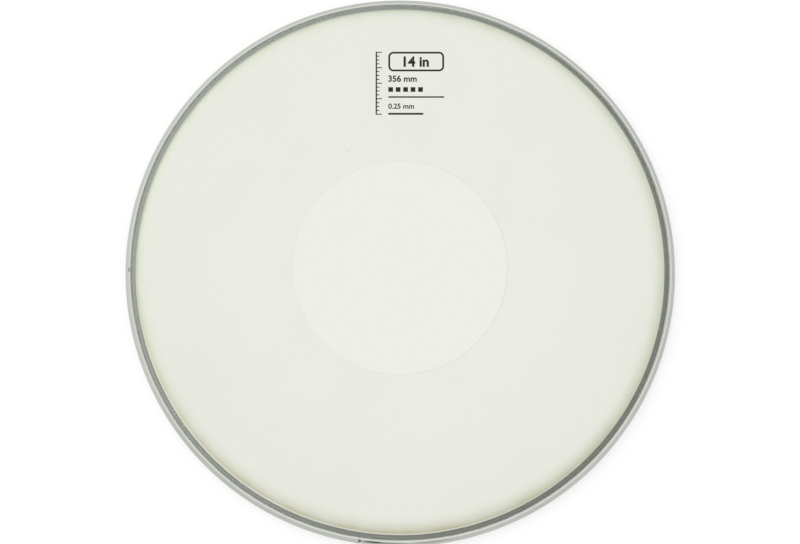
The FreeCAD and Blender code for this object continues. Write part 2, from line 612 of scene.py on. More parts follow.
def make_flecks():
    """Scattered small round spots, only some of the cells holding one."""
    tree, given, result = group(
        "flecks",
        [("Spot", "Vector", (0, 0, 0)), ("Scale", "Float", 300.0),
         ("Size", "Float", 0.2), ("Share", "Float", 0.2)],
        [("Mask", "Float")],
    )
    inputs = {"Vector": given["Spot"], "Scale": given["Scale"]}
    cells = place(tree, "ShaderNodeTexVoronoi", inputs).outputs
    draw = place(tree, "ShaderNodeSeparateColor", {0: cells["Color"]}).outputs
    chosen = maths(tree, "LESS_THAN", draw["Red"], given["Share"])
    reach = times(tree, given["Size"], maths(tree, "ADD", draw["Green"], 0.4))
    disc = ramp(tree, cells["Distance"], times(tree, reach, 0.6), reach, 1.0, 0.0)
    tree.links.new(times(tree, disc, chosen), result["Mask"])
    return tree


def make_roll_lines():
    """Lines that the rolls leave along the sheet: a mask, and a height for bumps."""
    tree, given, result = group(
        "roll lines",
        [("Drawn Out", "Vector", (0, 0, 0)), ("Share", "Float", 0.5)],
        [("Mask", "Float"), ("Height", "Float")],
    )
    broad = noise(tree, given["Drawn Out"], 1.0, 4.0, 0.65)
    fine = noise(tree, given["Drawn Out"], 4.0, 2.0, 0.6)
    height = blended(tree, broad, 0.6, fine)
    low = maths(tree, "SUBTRACT", 0.68, times(tree, given["Share"], 0.3))
    tree.links.new(ramp(tree, height, low, maths(tree, "ADD", low, 0.14)), result["Mask"])
    tree.links.new(height, result["Height"])
    return tree


ring_places = make_ring_places()
grain = make_grain()
flecks = make_flecks()
roll_lines = make_roll_lines()


# Finishes

bare_metal = (0.6, 0.62, 0.575)
dull_metal = (0.455, 0.47, 0.43)
weld_metal = (0.42, 0.42, 0.41)
burnt_metal = (0.2, 0.2, 0.19)
scuffed_metal = (0.8, 0.81, 0.8)
rubbed_highlight_metal = (0.72, 0.74, 0.69)
lit_side_metal = (0.66, 0.68, 0.635)
roll_line_metal = (0.36, 0.37, 0.35)
grime_and_shade = (0.05, 0.05, 0.045)


def rolled_aluminium(name, body, tarnish, tarnish_share, rubbed_highlight, pit_share):
    """Mill-finish aluminium strip with roll lines and scratches, a painted highlight on its lip,
    painted shade on its shoulder, painted light on the side towards the light, and dark marks on its
    rim, partly painted shade.
    """
    material, tree, shader = finish_of(name)
    ring = effect(tree, ring_places, {"Around": 9.0, "Across": 5200.0})
    lines = effect(tree, roll_lines, {"Drawn Out": ring["Drawn Out"], "Share": 0.45})
    cloud = noise(tree, ring["Spot"], 55.0, 4.0)
    scuff = {"Spot": ring["Drawn Out"], "Scale": 0.35, "Size": 0.45, "Share": 0.1}
    scuffs = effect(tree, flecks, scuff)
    colour = toned(tree, body, lines["Mask"], tarnish_share, tarnish)
    colour = tinted(tree, ramp(tree, cloud, 0.35, 0.7, 0.0, 0.35), colour, tarnish)
    colour = toned(tree, colour, scuffs["Mask"], 0.25, scuffed_metal)

    # the lip is worn bright and painted lighter as a highlight, and the shoulder is painted duller as
    # shade, with lines where the rolls met
    shoulder_shade = ramp(tree, ring["Height"], lip_height - 0.9 * MM, lip_height - 0.3 * MM, 0.5, 0.0)
    colour = tinted(tree, shoulder_shade, colour, tarnish)
    inner = ramp(tree, ring["Radius"], shoulder_radius - 0.2 * MM, shoulder_radius + 0.4 * MM, 1.0, 0.0)
    upper = ramp(tree, ring["Height"], lip_height - 1.0 * MM, lip_height - 0.4 * MM)
    lip = times(tree, inner, upper)
    colour = toned(tree, colour, lip, rubbed_highlight, rubbed_highlight_metal)
    for radius, share in roll_lines_on_shoulder:
        line = ring_line(tree, ring, radius * MM, 0.08 * MM, 0.32 * MM, share)
        colour = tinted(tree, line, colour, roll_line_metal)
    # painted light: the side of the hoop facing the light is paler
    lit_side = ramp(tree, facing(tree, ring, 155), 0.3, 1.0, 0.0, 0.45)
    colour = tinted(tree, lit_side, colour, lit_side_metal)

    # darker low in the corner of the foot, in the nick and in the seam's pit, and painted shade along
    # its pinched shoulder
    colour = tinted(tree, ramp(tree, ring["Height"], 0.0, 1.2 * MM, 0.3, 0.0), colour, tarnish)
    for degrees, radius, along, across, share in (
        (nick_angle, nick_radius, 4.4 * MM, 1.4 * MM, 0.6),
        (pit_angle, pit_radius, 2.5 * MM, 2.3 * MM, pit_share),
        (pit_angle + 2.7, pinched_radius, 18 * MM, 1.7 * MM, 0.9),
        (pit_angle + 5.4, pinched_radius, 38 * MM, 1.2 * MM, 0.55),
        (pit_angle + 15.0, pinched_radius, 34 * MM, 0.9 * MM, 0.5),
    ):
        mark = ring_mark(tree, ring, degrees, radius, along, across)
        colour = toned(tree, colour, mark, share, grime_and_shade)

    rough = ramp(tree, lines["Height"], 0.3, 0.7, 0.3, 0.46)
    feed(tree, shader, Base_Color=colour, Metallic=1.0, Roughness=rough)
    height = maths(tree, "ADD", lines["Height"], times(tree, cloud, 0.6))
    bumped(tree, shader, height, 0.02 * MM, 0.5)
    return material


def across_dot_edge(tree, ring, colour):
    """The dot shows through as a paler disc, with a thin grey line of painted shade along its edge,
    darkest on the side away from the light.
    """
    under_dot = ramp(tree, ring["Radius"], dot_radius - 0.5 * MM, dot_radius + 0.3 * MM, 1.0, 0.0)
    colour = tinted(tree, under_dot, colour, (0.868, 0.866, 0.825))
    # painted shade at the dot's edge step, darker on the side turned away from the light
    rim = ring_line(tree, ring, dot_radius + 0.35 * MM, 0.1 * MM, 0.8 * MM)
    side = ramp(tree, facing(tree, ring, -12), -0.8, 1.0, 0.02, 0.14)
    return toned(tree, colour, rim, side, (0.45, 0.46, 0.43))


def down_collar(tree, ring, colour):
    """The film shows through where the spray thins down the collar; painted shade darkens it towards
    the head's foot and the opposite side, and a brown tone towards the foot is partly stain and partly
    painted shade.
    """
    outward = ramp(tree, ring["Radius"], 160 * MM, coated_radius + 1 * MM, smooth=False)
    outward = maths(tree, "POWER", outward, 3.2)
    uneven = ramp(tree, noise(tree, ring["Spot"], 45.0, 4.0), 0.3, 0.7, 0.75, 1.2)
    outward = times(tree, outward, uneven)
    to_foot = facing(tree, ring, foot_angle)
    at_ends = times(tree, to_foot, to_foot)
    patchy = ramp(tree, noise(tree, ring["Spot"], 25.0, 2.0), 0.35, 0.65, 0.45, 0.65)
    colour = toned(tree, colour, outward, patchy, (0.6, 0.74, 0.36))
    # painted shade on the collar, strongest towards the head's foot and the opposite side
    grey = ramp(tree, at_ends, 0, 1, 0.14, 0.5, smooth=False)
    colour = toned(tree, colour, outward, grey, (0.42, 0.42, 0.36))
    # brown towards the head's foot, partly stain and partly painted shade
    stain_and_shade = ramp(tree, to_foot, 0, 1, 0.0, 0.36, smooth=False)
    return toned(tree, colour, outward, stain_and_shade, (0.5, 0.34, 0.15))


def along_coating_edge(tree, ring, colour):
    """A darker line just inside the coating's edge, strongest towards the foot, thicker coating at the
    very edge painted lighter as a highlight, and a thin stretch opposite.
    """
    to_foot = facing(tree, ring, foot_angle)
    # a darker line just inside the coating's edge, strongest towards the head's foot
    darker_line = ring_line(tree, ring, coated_radius - 1.45 * MM, 0.1 * MM, 0.8 * MM)
    darker_line_side = ramp(tree, to_foot, 0.3, 1.0, 0.0, 0.2)
    colour = toned(tree, colour, darker_line, darker_line_side, (0.4, 0.37, 0.28))
    # painted highlight on the thicker coating at its edge, strongest on one side
    bead_highlight = ramp(tree, ring["Radius"], coated_radius - 0.8 * MM, coated_radius - 0.3 * MM)
    bead_highlight_side = ramp(tree, facing(tree, ring, 246), 0.2, 0.9, 0.1, 0.75)
    colour = toned(tree, colour, bead_highlight, bead_highlight_side, (0.78, 0.8, 0.7))
    worn = ramp(tree, ring["Radius"], coated_radius - 2.2 * MM, coated_radius + 0.2 * MM)
    worn_side = ramp(tree, facing(tree, ring, 135), 0.3, 1.0, 0.04, 0.6)
    return toned(tree, colour, worn, worn_side, (0.36, 0.38, 0.33))


def sprayed_coating():
    """White coating with fine grit, paler where the dot backs it, thin and greenish on the collar."""
    material, tree, shader = finish_of("white_coating")
    ring = effect(tree, ring_places, {"Around": 60.0, "Across": 300.0})
    grit = effect(tree, grain, {"Spot": ring["Spot"], "Fine": 1900.0, "Coarse": 420.0})
    clouds = noise(tree, ring["Spot"], 22.0, 3.0)
    colour = tinted(tree, ramp(tree, clouds, 0.3, 0.7), (0.826, 0.84, 0.772), (0.84, 0.842, 0.78))

    # painted shade: a little darker and yellower from the rim inwards, most towards the bottom
    rim_shade = ramp(tree, ring["Radius"], 85 * MM, 175 * MM)
    rim_shade_side = ramp(tree, facing(tree, ring, 285), -1.0, 1.0, 0.02, 0.08)
    colour = toned(tree, colour, rim_shade, rim_shade_side, (0.53, 0.57, 0.43))

    colour = across_dot_edge(tree, ring, colour)
    colour = down_collar(tree, ring, colour)
    colour = along_coating_edge(tree, ring, colour)

    # dust and specks in the spray
    dust = effect(tree, flecks, {"Spot": ring["Spot"], "Scale": 90.0, "Size": 0.07, "Share": 0.05})
    colour = toned(tree, colour, dust["Mask"], 0.22, (0.35, 0.34, 0.3))
    for x, y in coating_specks:
        speck = near_spot(tree, ring["Spot"], x * MM, y * MM, 0.25 * MM, 0.75 * MM)
        colour = toned(tree, colour, speck, 0.28, (0.3, 0.3, 0.27))
    colour = toned(tree, colour, grit["Mask"], 0.05, (0.6, 0.61, 0.55))

    rough = ramp(tree, grit["Mask"], 0.0, 1.0, 0.62, 0.78)
    feed(tree, shader, Base_Color=colour, Roughness=rough, Specular_IOR_Level=0.3)
    height = maths(tree, "SUBTRACT", grit["Height"], times(tree, dust["Mask"], 0.3))
    bumped(tree, shader, height, 0.05 * MM, 0.35)
    return material


def polyester_film():
    """Clear film: nearly bare under the coating; on the collar and in the hoop it is hazed with resin
    and painted dark as shade, paler on the side towards the light.
    """
    material, tree, shader = finish_of("clear_film")
    ring = effect(tree, ring_places, {"Around": 150.0, "Across": 900.0})
    haze_noise = noise(tree, ring["Spot"], 700.0, 4.0, 0.6)
    streaks = noise(tree, ring["Drawn Out"], 1.0, 3.0)
    dust = effect(tree, flecks, {"Spot": ring["Spot"], "Scale": 900.0, "Size": 0.3, "Share": 0.1})
    bare = ramp(tree, ring["Radius"], coated_radius - 1.2 * MM, coated_radius + 0.4 * MM)
    mottle = ramp(tree, haze_noise, 0.35, 0.65)
    # dark grey haze: partly resin haze, partly painted shade of the recess beneath the bare film
    haze_and_shade = tinted(tree, mottle, (0.215, 0.23, 0.2), (0.28, 0.3, 0.26))
    # painted light: paler on the side facing the light
    lit = ramp(tree, facing(tree, ring, 165), -0.7, 1.0, 0.0, 0.75)
    haze_and_shade = tinted(tree, lit, haze_and_shade, (0.43, 0.46, 0.43))
    # partly resin crept up the throat, partly painted light that lifts the shade of the slot by the lip
    crept_and_lit = ramp(tree, ring["Radius"], coated_radius + 1.0 * MM, film_wall_radius)
    haze_and_shade = tinted(tree, crept_and_lit, haze_and_shade, (1.5, 1.5, 1.48), "MULTIPLY")

    # painted shadow along the coating's edge, darkest towards the head's foot
    edge_shadow = ramp(tree, ring["Radius"], coated_radius + 0.9 * MM, coated_radius + 2.4 * MM, 1.0, 0.0)
    edge_shadow_side = ramp(tree, facing(tree, ring, 270), -0.4, 0.8, 0.12, 0.52)
    haze_and_shade = toned(tree, haze_and_shade, edge_shadow, edge_shadow_side, (0.05, 0.05, 0.04))
    haze_and_shade = toned(tree, haze_and_shade, dust["Mask"], 0.5, (0.7, 0.7, 0.62))
    colour = tinted(tree, bare, (0.8, 0.83, 0.74), haze_and_shade)
    alpha = ramp(tree, bare, 0.0, 1.0, 0.12, 0.86)
    rough = ramp(tree, streaks, 0.3, 0.7, 0.1, 0.2)
    feed(tree, shader, Base_Color=colour, Roughness=rough, Alpha=alpha, IOR=1.6)
    height = maths(tree, "ADD", streaks, times(tree, haze_noise, bare))
    bumped(tree, shader, height, 0.03 * MM, 0.3)
    return material


def potting_resin():
    """Cured resin, glossy, with bubbles and a mottled surface; pale, partly its own colour and partly
    painted light against the shade of the deep slot it sits in.
    """
    material, tree, shader = finish_of("cured_resin")
    ring = effect(tree, ring_places, {"Around": 300.0, "Across": 900.0})
    mottle = noise(tree, ring["Spot"], 450.0, 4.0, 0.6)
    bubbles = effect(tree, flecks, {"Spot": ring["Spot"], "Scale": 1100.0, "Size": 0.35, "Share": 0.3})
    colour = tinted(tree, ramp(tree, mottle, 0.35, 0.65), (0.78, 0.8, 0.74), (0.88, 0.9, 0.84))
    colour = toned(tree, colour, bubbles["Mask"], 0.5, (0.62, 0.63, 0.55))
    rough = ramp(tree, mottle, 0.3, 0.7, 0.25, 0.45)
    feed(tree, shader, Base_Color=colour, Roughness=rough, Coat_Weight=0.3)
    height = maths(tree, "SUBTRACT", mottle, times(tree, bubbles["Mask"], 0.6))
    bumped(tree, shader, height, 0.06 * MM, 0.4)
    return material


def dried_resin_drops():
    """Paler resin, where it ran over the film and dried thin."""
    material, tree, shader = finish_of("dried_resin")
    ring = effect(tree, ring_places, {"Around": 300.0, "Across": 900.0})
    mottle = noise(tree, ring["Spot"], 900.0, 3.0)
    colour = tinted(tree, ramp(tree, mottle, 0.35, 0.65), (0.5, 0.52, 0.46), (0.72, 0.74, 0.68))
    rough = ramp(tree, mottle, 0.3, 0.7, 0.15, 0.35)
    feed(tree, shader, Base_Color=colour, Roughness=rough, Coat_Weight=0.2)
    bumped(tree, shader, mottle, 0.05 * MM, 0.4)
    return material


def printing_ink():
    """Black ink that takes the coating's grit, a little worn through on its high grains."""
    material, tree, shader = finish_of("printing_ink")
    ring = effect(tree, ring_places)
    grit = effect(tree, grain, {"Spot": ring["Spot"], "Fine": 1900.0, "Coarse": 420.0})
    worn = ramp(tree, grit["Height"], 0.6, 0.75, 0.0, 0.3)
    colour = tinted(tree, worn, (0.012, 0.013, 0.008), (0.25, 0.25, 0.22))
    rough = ramp(tree, grit["Mask"], 0.0, 1.0, 0.5, 0.7)
    feed(tree, shader, Base_Color=colour, Roughness=rough, Specular_IOR_Level=0.3)
    bumped(tree, shader, grit["Height"], 0.04 * MM, 0.3)
    return material


def tacky_adhesive():
    """Clear adhesive with small trapped bubbles."""
    material, tree, shader = finish_of("clear_adhesive")
    ring = effect(tree, ring_places, {"Around": 60.0, "Across": 300.0})
    bubbles = effect(tree, flecks, {"Spot": ring["Spot"], "Scale": 500.0, "Size": 0.25, "Share": 0.15})
    swirl = noise(tree, ring["Spot"], 90.0, 4.0)
    colour = tinted(tree, ramp(tree, swirl, 0.3, 0.7), (0.82, 0.83, 0.76), (0.88, 0.88, 0.83))
    alpha = ramp(tree, bubbles["Mask"], 0.0, 1.0, 0.35, 0.6)
    rough = ramp(tree, swirl, 0.3, 0.7, 0.25, 0.45)
    feed(tree, shader, Base_Color=colour, Roughness=rough, Alpha=alpha)
    bumped(tree, shader, bubbles["Mask"], 0.02 * MM, 0.4)
    return material


def milky_polyester():
    """Milky dot film with a faint rolled texture, dust and finger smudges."""
    material, tree, shader = finish_of("milky_film")
    ring = effect(tree, ring_places, {"Around": 60.0, "Across": 300.0})
    smudge = noise(tree, ring["Spot"], 28.0, 4.0, 0.6)
    texture = effect(tree, grain, {"Spot": ring["Spot"], "Fine": 3200.0, "Coarse": 900.0})
    dust = effect(tree, flecks, {"Spot": ring["Spot"], "Scale": 150.0, "Size": 0.08, "Share": 0.15})
    colour = tinted(tree, ramp(tree, smudge, 0.35, 0.7), (0.85, 0.86, 0.83), (0.88, 0.88, 0.86))
    colour = toned(tree, colour, dust["Mask"], 0.3, (0.4, 0.4, 0.37))
    rim = ramp(tree, ring["Radius"], dot_radius - 1.0 * MM, dot_radius, 0.0, 0.25)
    colour = tinted(tree, rim, colour, (0.72, 0.73, 0.68))
    rough = ramp(tree, smudge, 0.3, 0.7, 0.24, 0.42)
    feed(tree, shader, Base_Color=colour, Roughness=rough)
    bumped(tree, shader, texture["Height"], 0.02 * MM, 0.2)
    return material


hoop_finish = rolled_aluminium(
    "hoop_aluminium", bare_metal, dull_metal, tarnish_share=0.5, rubbed_highlight=0.85, pit_share=0.9
)
weld_finish = rolled_aluminium(
    "weld_aluminium", weld_metal, burnt_metal, tarnish_share=0.8, rubbed_highlight=0.3, pit_share=0.95
)
coating_finish = sprayed_coating()
film_finish = polyester_film()
resin_finish = potting_resin()
drop_finish = dried_resin_drops()
ink_finish = printing_ink()
adhesive_finish = tacky_adhesive()
dot_finish = milky_polyester()


# Hoop: the rolled strip and the weld at its seam

roll_waves = waves_of([2, 5, 9, 17, 31])


def rim_wear(turn, radius, height):
    """Moves the strip's points for the ring's slight waviness, the nick and the pinched seam."""
    wave = roll_wave * ripple(turn, roll_waves)
    upper = np.clip((height - outer_wall_height) / (lip_height - outer_wall_height), 0, 1)
    outer = radius > inner_wall_radius + sheet
    radius = radius - np.where(outer, np.abs(wave) * (1 - upper), 0)
    height = height - np.abs(wave) * upper * 0.8

    nick = bump_at(turn, radius, nick_angle, nick_radius, *nick_reach)
    pit = bump_at(turn, radius, pit_angle, pit_radius, *pit_reach)
    sunk = nick_depth * nick + pit_depth * pit

    # the strip's end was pinched in as it met the other, and springs back along the rim
    after = np.degrees(turn) % 360 - seam_angle
    pinch = np.where((after > 0) & (after < pinched_sweep), 1 - after / pinched_sweep, 0)
    low = np.clip(1 - np.abs(height - outer_wall_height) / pinched_reach, 0, 1)
    squeezed = np.where(outer, pinched_depth * pinch * low, 0)
    on_shoulder = np.where(outer & (height > outer_wall_height - sheet), 1, 0)
    return radius - squeezed - 0.5 * sunk * on_shoulder, height - sunk * on_shoulder


def build_hoop():
    section = layer(strip_path(), -sheet / 2, sheet / 2, sheet_edge_radius, strip_facet)
    start = math.radians(seam_angle) + seam_sweep / 2
    sweep = 2 * math.pi - seam_sweep
    turns = even_turns(ring_turns, start, sweep) + [start + sweep]
    turns = with_detail(turns, nick_angle + 360, math.radians(1.5), math.radians(0.12))
    near_seam = math.radians(0.06)
    turns += [start + near_seam * step for step in range(1, 16)]
    turns += [start + sweep - near_seam * step for step in range(1, 10)]
    turns = sorted(turn for turn in set(turns) if start <= turn <= start + sweep)
    return turned("hoop_strip", section, turns, rim_wear, whole=False)


def build_weld():
    """A ground bead of weld between the strip's ends, a hair below their faces."""
    shy = 0.04 * MM
    section = layer(strip_path(), shy - sheet / 2, sheet / 2 - shy, sheet_edge_radius, strip_facet)
    start = math.radians(seam_angle) - seam_sweep / 2
    turns = [start + seam_sweep * step / 6 for step in range(7)]

    def ground(turn, radius, height):
        radius, height = rim_wear(turn, radius, height)
        rough = weld_grind * np.sin(turn * 9000 + height * 5000) * np.sin(radius * 7000)
        return radius - np.abs(rough), height - np.abs(rough) * 0.5

    return turned("seam_weld", section, turns, ground, whole=False)


settle(build_hoop(), hoop_finish, "hoop_aluminium", "hoop_channel")
settle(build_weld(), weld_finish, "weld_aluminium", "hoop_seam_weld")


# Film, with the row of holes that the resin fills

def build_film():
    section = layer(film_path(), -film / 2, film / 2, film_edge_radius, film_facet)
    sheet_piece = turned("polyester_film", section, even_turns(ring_turns))
    punch = punch_pins()
    cut = sheet_piece.modifiers.new("punched holes", "BOOLEAN")
    cut.operation = "DIFFERENCE"
    cut.object = punch
    cut.solver = "EXACT"
    shaped = bpy.context.evaluated_depsgraph_get()
    mesh = bpy.data.meshes.new_from_object(sheet_piece.evaluated_get(shaped))
    sheet_piece.modifiers.clear()
    sheet_piece.data = mesh
    bpy.data.objects.remove(punch)
    return sheet_piece


def punch_pins():
    """Round pins across the film's wall, one for each hole, as one object."""
    pins = bmesh.new()
    reach = 1.5 * MM
    lie_down = Matrix.Rotation(math.pi / 2, 4, "Y")
    for number in range(perforation_count):
        turn = 2 * math.pi * (number + 0.5) / perforation_count
        out = Matrix.Translation((film_wall_radius, 0, perforation_height))
        there = Matrix.Rotation(turn, 4, "Z") @ out
        bmesh.ops.create_cone(
            pins, cap_ends=True, segments=24, radius1=perforation_radius,
            radius2=perforation_radius, depth=2 * reach, matrix=there @ lie_down,
        )
    return gathered("punch", pins)


settle(build_film(), film_finish, "clear_film", "membrane")


# Resin that fills the channel, and the drops that ran over the film

meniscus_waves = waves_of([23, 61, 107, 190])


def resin_section():
    """Section of the resin: the channel's inside, less the film that stands in it."""
    channel = parallel(strip_path(), sheet / 2)
    inner_side = [p for p in channel if p[0] < film_wall_radius and p[1] < inner_resin_top]
    outer_side = below([p for p in channel if p[0] > film_wall_radius], outer_resin_top)
    outer_film = [p for p in parallel(film_path(), film / 2) if p[0] > film_wall_radius]
    inner_film = [p for p in parallel(film_path(), -film / 2) if p[0] > film_wall_radius - film]
    outer_film = below(outer_film, outer_resin_top)
    inner_film = below(inner_film, inner_resin_top)
    wall = outer_side[-1][0]
    film_face = outer_film[0][0]
    meniscus = []
    for step in range(1, 6):
        part = step / 6
        dip = resin_climb * 4 * part * (1 - part)
        meniscus.append((wall + (film_face - wall) * part, outer_resin_top - dip))
    start = [(hoop_inner_radius + sheet, inner_resin_top)]
    return start + inner_side + outer_side + meniscus + outer_film + inner_film[::-1]


def build_resin():
    def uneven(turn, radius, height):
        """The surface stands a little higher in one place than in another."""
        top = height > outer_resin_top - resin_climb - 0.05 * MM
        lift = resin_wave * ripple(turn + radius * 40, meniscus_waves)
        return radius, height + np.where(top, lift, 0)

    corners = resin_section()
    section = divided(corners + corners[:1], resin_facet)[:-1]
    return turned("potting_resin", section, even_turns(ring_turns), uneven)


def on_collar(degrees, radius):
    """Place on the film's upper face, on the collar's straight run, and its outward normal."""
    slope = collar_slope()
    path = film_path()[0]
    height = path[2][1] + (path[2][0] - radius) * math.tan(slope) + film / 2 / math.cos(slope)
    turn = math.radians(degrees)
    out = Vector((math.cos(turn), math.sin(turn), 0))
    normal = out * math.sin(slope) + Vector((0, 0, math.cos(slope)))
    return out * radius + Vector((0, 0, height)), normal


def add_drop(mesh, degrees, radius, length, width, thickness):
    """An uneven drop that lies flat on the collar."""
    place_on, normal = on_collar(degrees, radius)
    round_ring = Vector((0, 0, 1)).cross(place_on).normalized()
    downhill = round_ring.cross(normal)
    drop = bmesh.ops.create_icosphere(mesh, subdivisions=3, radius=1)["verts"]
    lobes = chance.randint(2, 4)
    phase = chance.uniform(0, 6)
    for point in drop:
        turn = math.atan2(point.co.y, point.co.x)
        swell = 1 + 0.22 * math.cos(lobes * turn + phase) + 0.1 * math.cos(5 * turn)
        x = point.co.x * length / 2 * swell
        y = point.co.y * width / 2 * swell
        point.co = place_on + round_ring * x + downhill * y + normal * (point.co.z * thickness)


def build_drops():
    drops = bmesh.new()
    for degrees in resin_run_angles:
        radius = chance.uniform(*resin_run_band) * MM
        length = chance.uniform(1.0, 2.2) * MM
        width = chance.uniform(0.5, 0.9) * MM
        add_drop(drops, degrees, radius, length, width, 0.14 * MM)
    for degrees in resin_fleck_angles:
        radius = chance.uniform(*resin_fleck_band) * MM
        length = chance.uniform(0.6, 1.0) * MM
        add_drop(drops, degrees, radius, length, 0.5 * MM, 0.1 * MM)
    for face in drops.faces:
        face.smooth = True
    return gathered("resin_drops", drops)


settle(build_resin(), resin_finish, "cured_resin", "resin_ring")
settle(build_drops(), drop_finish, "cured_resin")


# Coating, with a wavy edge and the dot's faint step

edge_waves = waves_of([3, 7, 13, 29, 53, 97])


def build_coating():
    near = parallel(coating_path(), film / 2 + coating_lift)
    far = parallel(coating_path(), film / 2 + coating)
    crown_end = far[1][0]
    step_rings = [dot_radius + shift * MM for shift in dot_step_rings]
    flat_rings = [crown_end * number / crown_rings for number in range(crown_rings)]
    flat_rings = [r for r in flat_rings if abs(r - dot_radius) > 0.8 * MM]
    crown = [(r, coating_top) for r in sorted(flat_rings + step_rings)]
    collar = divided(far[1:], collar_facet)
    edge = eased_end(near[-1], collar[-1], coating_edge_radius)[1:-1]
    section = crown + collar[:-1] + edge[::-1] + divided(near, coating_back_facet)[::-1][1:]
    slope = math.tan(collar_slope())
    straight_from = far[-2][0]

    def sprayed(turn, radius, height):
        """The coating's edge wanders up and down the collar, and the dot lifts its middle."""
        near_edge = np.clip((radius - straight_from) / (coated_radius - straight_from), 0, 1)
        lean = coating_off_centre * np.cos(turn - math.radians(coating_low_angle))
        wander = coating_edge_wander * ripple(turn, edge_waves)
        shift = (wander + lean - coating_edge_shift) * near_edge
        inside_edge = dot_radius + dot_step_reach - radius
        over_dot = np.clip(inside_edge / (2 * dot_step_reach), 0, 1)
        on_top = height > coating_top - 0.01 * MM
        lift = np.where(on_top, dot_step * over_dot * over_dot * (3 - 2 * over_dot), 0)
        return radius + shift, height - shift * slope + lift

    return turned("sprayed_coating", section, even_turns(ring_turns), sprayed)


settle(build_coating(), coating_finish, "white_coating", "top_coating")


# Dot and its adhesive

def build_patch(name, radius, underside, top, corner):
    """Thin round patch with an eased edge."""
    rings = [radius * number / patch_rings for number in range(patch_rings)]
    edge = eased_end((radius, underside), (radius, top), corner)
    section = [(r, underside) for r in rings] + edge + [(r, top) for r in reversed(rings)]
    return turned(name, section, even_turns(patch_turns))


adhesive_piece = build_patch(
    "adhesive_layer", dot_radius - adhesive_margin, dot_top, dot_top + adhesive, 0.02 * MM
)
dot_piece = build_patch("dot_patch", dot_radius, dot_top - dot_film, dot_top, 0.05 * MM)
settle(adhesive_piece, adhesive_finish, "clear_adhesive", "dot_adhesive")
settle(dot_piece, dot_finish, "milky_film", "center_dot")


# Printed mark: plain size numbers beside a ruler

def ink_rectangle(mesh, left, foot, right, top):
    corners = [(left, foot), (right, foot), (right, top), (left, top)]
    ink_outline(mesh, corners, [])


def ink_outline(mesh, corners, hole):
    """A printed area between an outline and a hole of as many points, or a filled one."""
    low, high = coating_top - ink, coating_top + ink
    outer = [[mesh.verts.new((x, y, z)) for x, y in corners] for z in (low, high)]
    count = len(corners)
    for step in range(count):
        after = (step + 1) % count
        mesh.faces.new((outer[0][step], outer[0][after], outer[1][after], outer[1][step]))
    if not hole:
        mesh.faces.new(outer[0][::-1])
        mesh.faces.new(outer[1])
        return
    inner = [[mesh.verts.new((x, y, z)) for x, y in hole] for z in (low, high)]
    for step in range(count):
        after = (step + 1) % count
        mesh.faces.new((inner[0][after], inner[0][step], inner[1][step], inner[1][after]))
        mesh.faces.new((outer[1][step], outer[1][after], inner[1][after], inner[1][step]))
        mesh.faces.new((outer[0][after], outer[0][step], inner[0][step], inner[0][after]))


def rounded_box(left, foot, right, top, corner):
    """Outline of a box with rounded corners."""
    points = []
    centres = ((right, top, 0), (left, top, 90), (left, foot, 180), (right, foot, 270))
    for x, y, start in centres:
        middle_x = x - math.copysign(corner, x - (left + right) / 2)
        middle_y = y - math.copysign(corner, y - (foot + top) / 2)
        for step in range(9):
            turn = math.radians(start + 90 * step / 8)
            points.append((middle_x + corner * math.cos(turn), middle_y + corner * math.sin(turn)))
    return points


def ink_words(mesh, words, left, foot, height, weight, middle_of=0):
    """Lettering of a cap height, from a place on the crown or in the middle of a width from it."""
    curve = bpy.data.curves.new("words", "FONT")
    curve.body = words
    curve.size = 1
    curve.resolution_u = 6
    curve.offset = weight
    curve.extrude = 0.1
    lettering = new_object("words", curve)
    bpy.context.view_layer.update()
    shaped = lettering.evaluated_get(bpy.context.evaluated_depsgraph_get())
    drawn = bpy.data.meshes.new_from_object(shaped)
    spots = [vertex.co for vertex in drawn.vertices]
    lowest = min(spot.y for spot in spots)
    scale = height / (max(spot.y for spot in spots) - lowest)
    leftmost = min(spot.x for spot in spots)
    if middle_of:
        left += (middle_of - (max(spot.x for spot in spots) - leftmost) * scale) / 2
    for vertex in drawn.vertices:
        up = ink if vertex.co.z > 0 else -ink
        x = left + (vertex.co.x - leftmost) * scale
        y = foot + (vertex.co.y - lowest) * scale
        vertex.co = (x, y, coating_top + up)
    mesh.from_mesh(drawn)
    bpy.data.objects.remove(lettering)
    bpy.data.curves.remove(curve)
    bpy.data.meshes.remove(drawn)


